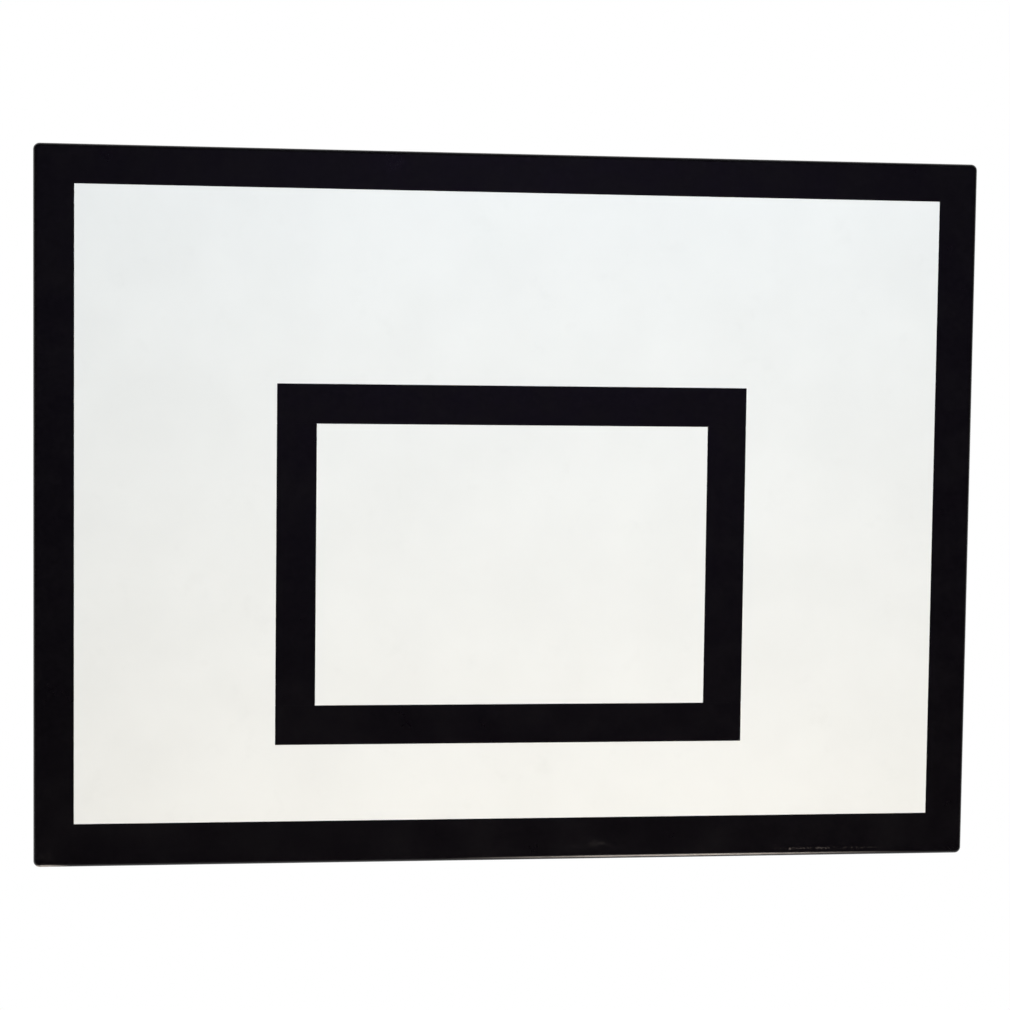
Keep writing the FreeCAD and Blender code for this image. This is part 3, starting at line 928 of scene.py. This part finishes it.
@dataclass
class Plates:
    """Flat steel welded to the frame: ring backing plate, wall lugs and panel tabs."""

    steel: Coat
    corner: float = 4 * MM
    deburred: float = 0.5 * MM
    ring_columns: float = 110 * MM
    ring_rows: float = 90 * MM
    ring_margin: float = 25 * MM
    bolt_hole: float = 5.5 * MM
    lug_margin: float = 25 * MM
    tab_hole: float = 3.5 * MM
    tab_inset: float = 15 * MM
    # Edges that turn by more than this are broken.
    sharp_turn: float = math.radians(60)

    def build(self) -> None:
        """Build every plate."""
        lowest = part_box("ring_backing_plate")[0].z + self.ring_margin
        rows = (lowest, lowest + self.ring_rows)
        columns = (-self.ring_columns / 2, self.ring_columns / 2)
        self.build_plate("ring_backing_plate", [(x, z) for x in columns for z in rows], self.bolt_hole)
        for name in nodes_of("lug"):
            low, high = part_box(name)
            outer = high.x - self.lug_margin if high.x > 0 else low.x + self.lug_margin
            self.build_plate(name, [(outer, (low.z + high.z) / 2)], self.bolt_hole)
        for name in nodes_of("tab"):
            hole = screw_place(name, self.tab_inset)
            self.build_plate(name, [(hole.x, hole.z)], self.tab_hole)

    def build_plate(self, node: str, holes: list[tuple[float, float]], radius: float) -> None:
        """Build one plate with rounded corners, drilled holes and broken edges.

        Args:
            node: CAD node of the plate.
            holes: Places of the holes, across and up.
            radius: Radius of the holes.
        """
        low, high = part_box(node)
        half = (high - low) / 2
        shape = bmesh.new()
        lay_rectangle(shape, low + Vector((half.x, 0, half.z)), half.x, half.z)
        round_off(shape, list(shape.verts), self.corner, steps=7, what=Rounded.CORNERS)
        outline = shape.faces[:][0]
        rings = [open_ring(shape, Vector((x, low.y, z)), radius, steps=32) for x, z in holes]
        pierce(shape, outline, rings)
        made = bmesh.ops.extrude_face_region(shape, geom=list(shape.faces), use_keep_orig=True)
        bmesh.ops.translate(shape, verts=fresh(made, BMVert), vec=(0, high.y - low.y, 0))
        bmesh.ops.recalc_face_normals(shape, faces=shape.faces)
        sharp = [e for e in shape.edges if e.is_manifold and e.calc_face_angle() > self.sharp_turn]
        round_off(shape, sharp, self.deburred, steps=3)
        set_piece(node + "_plate", shape, self.steel, node)


@dataclass(frozen=True)
class Bead:
    """A weld: the line of its root, the ways of its two legs, and its middle as a share of these."""

    start: Point | Vector
    end: Point | Vector
    first: Point | Vector
    second: Point | Vector
    swell: float = 0.84


@dataclass
class Welds:
    """Welds of the frame, laid in short overlapping ripples."""

    steel: Coat
    leg: float = 4 * MM
    ripple: float = 1.5 * MM
    arch: int = 4
    sag: float = 0.9 * MM
    tail: float = 0.6
    dip: float = 0.9
    sway: float = 0.06
    sway_pace: float = 1.7
    fewest: int = 6
    seam_depth: float = 2.85 * MM
    seam_swell: float = 0.92
    seam_margin: float = 1.2 * MM
    lug_margin: float = 4 * MM
    tube_corner: float = 3 * MM
    plate_margin: float = 20 * MM

    def build(self) -> None:
        """Build the four groups of welds."""
        self.build_group("frame_welds", self.frame_beads() + self.seam_beads())
        self.build_group("lug_welds", self.lug_beads())
        self.build_group("ring_plate_welds", self.ring_beads())
        self.build_group("tab_welds", self.tab_beads())

    def build_group(self, node: str, beads: list[Bead]) -> None:
        """Build one group of beads as a piece.

        Args:
            node: CAD node of the group.
            beads: Its beads.
        """
        shape = bmesh.new()
        for bead in beads:
            self.lay(shape, bead)
        set_piece(node + "_beads", shape, self.steel, node)

    def frame_beads(self) -> list[Bead]:
        """Find the inner corners where tubes meet.

        Returns:
            A bead for each.
        """
        low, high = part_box("frame_welds")
        stile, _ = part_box("stile_right")
        upright, upright_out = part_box("upright_right")
        rail_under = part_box("top_rail")[0].z
        rail_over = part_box("bottom_rail_right")[1].z
        crossbar_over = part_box("ring_crossbar")[1].z
        corners = [
            (stile.x, rail_under, -1, -1),
            (stile.x, rail_over, -1, 1),
            (upright.x, rail_under, -1, -1),
            (upright_out.x, rail_under, 1, -1),
            (upright_out.x, rail_over, 1, 1),
            (upright.x, crossbar_over, -1, 1),
        ]
        return [
            Bead((side * x, low.y, z), (side * x, high.y, z), (side * out, 0, 0), (0, 0, up))
            for x, z, out, up in corners
            for side in (-1, 1)
        ]

    def seam_beads(self) -> list[Bead]:
        """Find the grooves across the frame's rear, where a tube ends at another's rounded side.

        Returns:
            A bead for each.
        """
        beads = []
        for node, (axis, welded) in TUBES.items():
            along, across = (RIGHT, UP) if axis is Axis.X else (UP, RIGHT)
            low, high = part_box(node)
            half = across * ((high - low).dot(across) / 2 - self.seam_margin)
            legs = ((REAR + along).normalized(), (REAR - along).normalized())
            for end in welded:
                root = near_end(node, axis, end, 0) - REAR * self.seam_depth
                beads.append(Bead(root - half, root + half, *legs, self.seam_swell))
        return beads

    def lug_beads(self) -> list[Bead]:
        """Find the edges above, below and under the outer side of each lug.

        Returns:
            A bead for each.
        """
        beads = []
        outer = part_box("upright_right")[1].x
        for name in nodes_of("lug"):
            low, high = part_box(name)
            side = 1 if high.x > 0 else -1
            near = side * (min(abs(low.x), abs(high.x)) + self.lug_margin)
            far = side * (outer - self.tube_corner)
            for z, up in ((low.z, -1), (high.z, 1)):
                beads.append(Bead((near, low.y, z), (far, low.y, z), REAR, (0, 0, up)))
            start = (side * outer, low.y, low.z + self.lug_margin)
            end = (side * outer, low.y, high.z - self.lug_margin)
            beads.append(Bead(start, end, (side, 0, 0), FRONT))
        return beads

    def ring_beads(self) -> list[Bead]:
        """Find the two sides and the top of the ring's backing plate.

        Returns:
            A bead for each.
        """
        low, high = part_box("ring_backing_plate")
        foot, head = low.z + self.plate_margin, high.z - self.plate_margin
        left, right = low.x + self.plate_margin, high.x - self.plate_margin
        return [
            *(
                Bead((side * high.x, high.y, foot), (side * high.x, high.y, head), (-side, 0, 0), REAR)
                for side in (-1, 1)
            ),
            Bead((left, high.y, high.z), (right, high.y, high.z), (0, 0, -1), REAR),
        ]

    def tab_beads(self) -> list[Bead]:
        """Find where each tab meets its tube.

        Returns:
            A bead for each.
        """
        beads = []
        for name in nodes_of("tab"):
            low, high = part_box(name)
            way = tab_way(name)
            root = screw_place(name, 0)
            along = Vector((abs(way.z), 0, abs(way.x)))
            half = along * (abs((high - low).dot(along)) / 2 - self.leg)
            beads.append(Bead(root - half, root + half, way, REAR))
        return beads

    def lay(self, shape: BMesh, bead: Bead) -> None:
        """Lay one bead by drawing its rounded section along in ripples.

        Args:
            shape: Shape that gets the bead.
            bead: Bead to lay.
        """
        start, end, first, second = map(Vector, (bead.start, bead.end, bead.first, bead.second))
        way = (end - start).normalized()
        run = end - start - way * self.sag * self.tail
        count = max(self.fewest, round(run.length / self.ripple) * 2)
        step = run / count
        arc = [shape.verts.new(start)]
        for k in range(self.arch + 1):
            turn = math.pi / 2 * k / self.arch
            round_out = bead.swell + (1 - bead.swell) * abs(math.cos(2 * turn))
            spoke = (first * math.cos(turn) + second * math.sin(turn)) * self.leg * round_out
            bow = way * self.sag * math.sin(2 * turn)
            arc.append(shape.verts.new(start + (spoke + bow) * self.tail))
        face = shape.faces.new(arc)
        size = self.tail
        for k in range(1, count + 1):
            wanted = (1.0 if k % 2 else self.dip) * (1 - self.sway * math.sin(k * self.sway_pace) ** 2)
            if k == count:
                wanted = self.tail
            face = draw_out(shape, face, step, wanted / size, start + step * k, keep=k == 1)
            size = wanted


@dataclass
class Fixings:
    """Hexagon-head coach screws and their washers, one through each tab."""

    zinc: Coat
    tab_inset: float = 15 * MM
    flats: float = 10 * MM
    head: float = 4 * MM
    shank: float = 3 * MM
    tip: float = 5 * MM
    point: float = 0.2 * MM
    # Radius where the head's chamfer starts, as a share of its width, and the flat top's share of that.
    crown: float = 0.475
    crown_rim: float = 0.96
    chamfer: float = math.radians(30)
    washer: float = 6 * MM
    washer_bore: float = 3.2 * MM
    washer_depth: float = 1.6 * MM
    washer_edge: float = 0.35 * MM
    turn: float = math.radians(37)

    def build(self) -> None:
        """Build the screws as one piece and the washers as another."""
        places = [screw_place(name, self.tab_inset) for name in nodes_of("tab")]
        self.repeat("coach_screws", self.screw(), places, self.washer_depth)
        self.repeat("screw_washers", self.ring(), places, 0.0)

    def repeat(self, node: str, one: BMesh, places: list[Vector], lift: float) -> None:
        """Set copies of a fixing at every tab, each turned a little further.

        Args:
            node: CAD node of the group.
            one: Fixing on the Z axis, seated at zero.
            places: Holes on the tabs' rear faces.
            lift: Height of its seat above the tab.
        """
        mesh = bpy.data.meshes.new(node)
        one.to_mesh(mesh)
        one.free()
        shape = bmesh.new()
        for count, place in enumerate(places):
            first = len(shape.verts)
            shape.from_mesh(mesh)
            shape.verts.ensure_lookup_table()
            turned = Matrix.Rotation(-math.pi / 2, 4, "X") @ Matrix.Rotation(self.turn * count, 4, "Z")
            stand = Matrix.Translation(place + REAR * lift) @ turned
            bmesh.ops.transform(shape, matrix=stand, verts=shape.verts[first:])
        bpy.data.meshes.remove(mesh)
        set_piece(node + "_set", shape, self.zinc, node)

    def grow(self, shape: BMesh, loop: list[BMEdge], radius: float, level: float) -> list[BMEdge]:
        """Draw a loop of edges on to a circle round the Z axis.

        Args:
            shape: Shape that has the loop.
            loop: Its edges.
            radius: Radius of the circle.
            level: Height of the circle.

        Returns:
            The circle's edges.
        """
        made = bmesh.ops.extrude_edge_only(shape, edges=loop)
        for vert in fresh(made, BMVert):
            vert.co = Vector((*(vert.co.xy.normalized() * radius), level))
        return fresh(made, BMEdge)

    def screw(self) -> BMesh:
        """Build one screw: chamfered hexagon, shank and point.

        Returns:
            The screw, with its head above zero and its shank below.
        """
        shape = bmesh.new()
        flat = self.flats * self.crown
        bmesh.ops.create_circle(shape, segments=6, radius=self.flats / math.sqrt(3))
        bmesh.ops.subdivide_edges(shape, edges=list(shape.edges), cuts=7)
        loop = list(shape.edges)
        side = bmesh.ops.extrude_edge_only(shape, edges=loop)
        for vert in fresh(side, BMVert):
            vert.co.z = self.head - max(0.0, vert.co.xy.length - flat) * math.tan(self.chamfer)
        top = self.grow(shape, fresh(side, BMEdge), flat * self.crown_rim, self.head)
        bmesh.ops.edgeloop_fill(shape, edges=top)
        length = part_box("tab_top_centre")[1].y + self.washer_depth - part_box("coach_screws")[0].y
        for radius, level in ((self.shank, 0), (self.shank, self.tip - length), (self.point, -length)):
            loop = self.grow(shape, loop, radius, level)
        bmesh.ops.edgeloop_fill(shape, edges=loop)
        return shape

    def ring(self) -> BMesh:
        """Build one washer by turning its rounded section.

        Returns:
            The washer, seated at zero.
        """
        shape = bmesh.new()
        middle = Vector(((self.washer + self.washer_bore) / 2, 0, self.washer_depth / 2))
        lay_rectangle(shape, middle, (self.washer - self.washer_bore) / 2, self.washer_depth / 2)
        round_off(shape, list(shape.verts), self.washer_edge, steps=3, what=Rounded.CORNERS)
        bmesh.ops.delete(shape, geom=list(shape.faces), context="FACES_ONLY")
        outline = list(shape.verts) + list(shape.edges)
        axle = {"cent": (0, 0, 0), "axis": (0, 0, 1)}
        bmesh.ops.spin(shape, geom=outline, angle=math.tau, steps=36, use_merge=True, **axle)
        return shape


@dataclass
class EndCaps:
    """Moulded caps that close the six open tube ends."""

    plastic: Coat
    head: float = 2.5 * MM
    corner: float = 3 * MM
    crown: float = 1.3 * MM
    plug_inset: float = 2.2 * MM
    plug_taper: float = 0.97
    dish: float = 0.72
    dish_floor: float = 0.95
    dish_depth: float = 0.4 * MM

    def build(self) -> None:
        """Build the six caps."""
        for name in nodes_of("cap"):
            self.build_cap(name)

    def build_cap(self, node: str) -> None:
        """Build one cap: crowned head with a shallow dish, and its plug.

        Args:
            node: CAD node of the cap.
        """
        low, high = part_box(node)
        middle = (low + high) / 2
        way = Vector((0, 0, -1)) if "upright" in node else Vector((math.copysign(1, middle.x), 0, 0))
        span = abs((high - low).dot(way))
        half = (high.y - low.y) / 2
        still = Vector((0, 0, 0))
        shape = block(Vector((-half, -half, -self.head)), Vector((half, half, 0)))
        round_off(shape, edges_along(shape, Axis.Z), self.corner, steps=5)
        round_off(shape, edges_at(shape, Axis.Z, 0.0), self.crown, steps=5)
        rim = draw_out(shape, face_towards(shape, UP), still, self.dish, still)
        draw_out(shape, rim, -UP * self.dish_depth, self.dish_floor, -UP * self.dish_depth)
        slim = (half - self.plug_inset) / half
        neck = draw_out(shape, face_towards(shape, -UP), still, slim, -UP * self.head)
        draw_out(shape, neck, UP * (self.head - span), self.plug_taper, -UP * span)
        outer = middle + way * (span / 2)
        stand = Matrix.Translation(outer) @ way.to_track_quat("Z", "Y").to_matrix().to_4x4()
        bmesh.ops.transform(shape, matrix=stand, verts=shape.verts)
        set_piece(node + "_moulding", shape, self.plastic, node)


@dataclass(frozen=True)
class Softbox:
    """A large soft lamp, aimed at the board's middle, that stays out of its reflections."""

    name: str
    place: Point
    width: float
    height: float
    colour: str
    power: float
    lights_floor: bool = True

    def hang(self, floor: Object) -> None:
        """Hang the lamp.

        Args:
            floor: Floor that a lamp close above it may leave unlit.
        """
        lamp = bpy.data.lights.new(self.name, "AREA")
        lamp.shape = "RECTANGLE"
        lamp.size = self.width
        lamp.size_y = self.height
        lamp.color = linear(self.colour)[:3]
        lamp.energy = self.power
        holder = bpy.data.objects.new(self.name, lamp)
        holder.location = self.place
        holder.rotation_euler = (-Vector(self.place)).to_track_quat("-Z", "Y").to_euler()
        holder.visible_camera = False
        holder.visible_glossy = False
        bpy.context.scene.collection.objects.link(holder)
        if not self.lights_floor:
            shaded = bpy.data.collections.new(self.name + "_shaded")
            shaded.objects.link(floor)
            shaded.collection_objects[0].light_linking.link_state = "EXCLUDE"
            holder.light_linking.receiver_collection = shaded


@dataclass
class Studio:
    """Pale floor, soft lamps, white surroundings and the camera."""

    floor_level: float = -1.5
    floor_radius: float = 2.8
    floor_colour: str = "#E6E5E2"
    floor_glow: float = 0.72
    floor_fade: tuple[float, float] = (0.4, 0.98)
    ambient: float = 0.31
    white: str = "#FFFFFF"
    daylight: str = "#FCFDFC"
    tent_low: Point = (-5.0, -6.0, -1.4)
    tent_high: Point = (5.0, -0.1, 4.5)
    tent_hem: float = 0.5
    tent_dark: str = "#121012"
    tent_glow: str = "#7A6C9C"
    glow_place: Mark = Mark(x=0.8, z=0.7, half_x=2.4, half_z=1.6)
    camera_place: Point = (-0.4015, -3.0196, 0.1974)
    yaw: float = math.radians(-7.503)
    pitch: float = math.radians(-3.647)
    roll: float = math.radians(0.706)
    lens: float = 84.13
    sensor: float = 36.0

    def build(self) -> None:
        """Set up the studio."""
        self.surround()
        floor = self.lay_floor()
        self.hang_tent()
        for lamp in self.lamps():
            lamp.hang(floor)
        self.set_camera()
        bpy.context.scene.view_settings.view_transform = "Standard"

    def seen(self, add: Add) -> Node:
        """Tell the rays that show a surface from those that light others.

        Args:
            add: Adds a node to the material or the world.

        Returns:
            A node that is 1 for camera, glossy and transmission rays.
        """
        path = add("LightPath").outputs
        direct = add("Math", path["Is Camera Ray"], path["Is Glossy Ray"], operation="MAXIMUM")
        return add("Math", direct, path["Is Transmission Ray"], operation="MAXIMUM")

    def surround(self) -> None:
        """Make the surroundings white to look at and softer as light."""
        world = bpy.data.worlds.new("white_studio")
        bpy.context.scene.world = world
        add = blank(world)
        light = add("Background", Color=self.daylight, Strength=self.ambient)
        white = add("Background", Color=self.white, Strength=1.0)
        add("OutputWorld", Surface=add("MixShader", self.seen(add), light, white))

    def lay_floor(self) -> Object:
        """Lay a round floor that keeps the board's shadow and fades into the white.

        Returns:
            The floor.
        """
        shape = bmesh.new()
        stand = Matrix.Translation((0, 0, self.floor_level))
        bmesh.ops.create_circle(shape, cap_ends=True, segments=96, radius=self.floor_radius, matrix=stand)
        material = bpy.data.materials.new("pale_floor_paper")
        add = blank(material)
        place = add("TexCoord").outputs["Object"]
        flat = add("VectorMath", place, (1, 1, 0), operation="MULTIPLY")
        reach = add("VectorMath", flat, operation="LENGTH")
        near, far = (self.floor_radius * share for share in self.floor_fade)
        glow = add("MapRange", reach, near, far, self.floor_glow, 1.0, interpolation_type="SMOOTHSTEP")
        share = add("Math", glow, self.seen(add), operation="MULTIPLY")
        paper = add("BsdfDiffuse", Color=self.floor_colour)
        white = add("Emission", Color=self.white, Strength=1.0)
        both = add("MixShader", share, paper, white)
        # The floor has one side only, so that the board can be seen from below it.
        under = add("NewGeometry").outputs["Backfacing"]
        sided = add("MixShader", under, both, add("BsdfTransparent"))
        add("OutputMaterial", Surface=sided)
        floor = stand_up("pale_floor", shape, material)
        return floor

    def hang_tent(self) -> None:
        """Hang dark cloth round the front, which only reflections show."""
        low, high = Vector(self.tent_low), Vector(self.tent_high)
        middle = (low + high) / 2
        shape = block(low, high)
        bmesh.ops.delete(shape, geom=[face_towards(shape, REAR)], context="FACES_ONLY")
        hem = [v for v in shape.verts if v.co.y > middle.y and v.co.z < middle.z]
        bmesh.ops.translate(shape, verts=hem, vec=FRONT * self.tent_hem)
        material = bpy.data.materials.new("dark_tent_cloth")
        add = blank(material)
        glow = self.glow_place.mask(add, add("TexCoord").outputs["Object"], soft=1.0)
        shade = add("Mix", glow, self.tent_dark, self.tent_glow, data_type="RGBA")
        add("OutputMaterial", Surface=add("Emission", Color=shade, Strength=1.0))
        tent = stand_up("dark_tent", shape, material)
        for rays in ("camera", "diffuse", "transmission", "volume_scatter", "shadow"):
            setattr(tent, "visible_" + rays, False)

    def lamps(self) -> list[Softbox]:
        """Choose the lamps: a cool one high in front, a warm one low in front, and two behind.

        Returns:
            The lamps.
        """
        return [
            Softbox("cool_front", (0.15, -1.85, 1.25), 2.0, 0.6, "#DFEDFF", 29.3),
            Softbox("warm_front", (0.2, -1.85, -1.2), 2.0, 0.5, "#FFEED9", 23.8, lights_floor=False),
            Softbox("rear_left", (-2.2, 2.6, 1.8), 1.6, 1.2, "#FFFDF8", 62.0),
            Softbox("rear_right", (2.6, 2.4, 0.9), 1.4, 1.4, "#F6F9FF", 42.0),
        ]

    def set_camera(self) -> None:
        """Put the camera where the photograph was taken from."""
        data = bpy.data.cameras.new("photo_camera")
        data.lens = self.lens
        data.sensor_width = self.sensor
        camera = bpy.data.objects.new("photo_camera", data)
        bpy.context.scene.collection.objects.link(camera)
        camera.location = self.camera_place
        turned = (
            Matrix.Rotation(self.yaw, 3, "Z")
            @ Matrix.Rotation(math.pi / 2 + self.pitch, 3, "X")
            @ Matrix.Rotation(self.roll, 3, "Z")
        )
        camera.rotation_euler = turned.to_euler()
        bpy.context.scene.camera = camera


def main() -> None:
    """Build the board, then its studio."""
    logging.basicConfig(level=logging.INFO, format="%(message)s")
    steel = GalvanisedSteel().make()
    Panel(WhiteLaminate().make(), BlackEnamel().make(), BirchPlywood().make()).build()
    TubeFrame(steel).build()
    Plates(steel).build()
    Welds(steel).build()
    Fixings(ZincPlate().make()).build()
    EndCaps(BlackPolyethylene().make()).build()
    Studio().build()


if __name__ == "__main__":
    main()
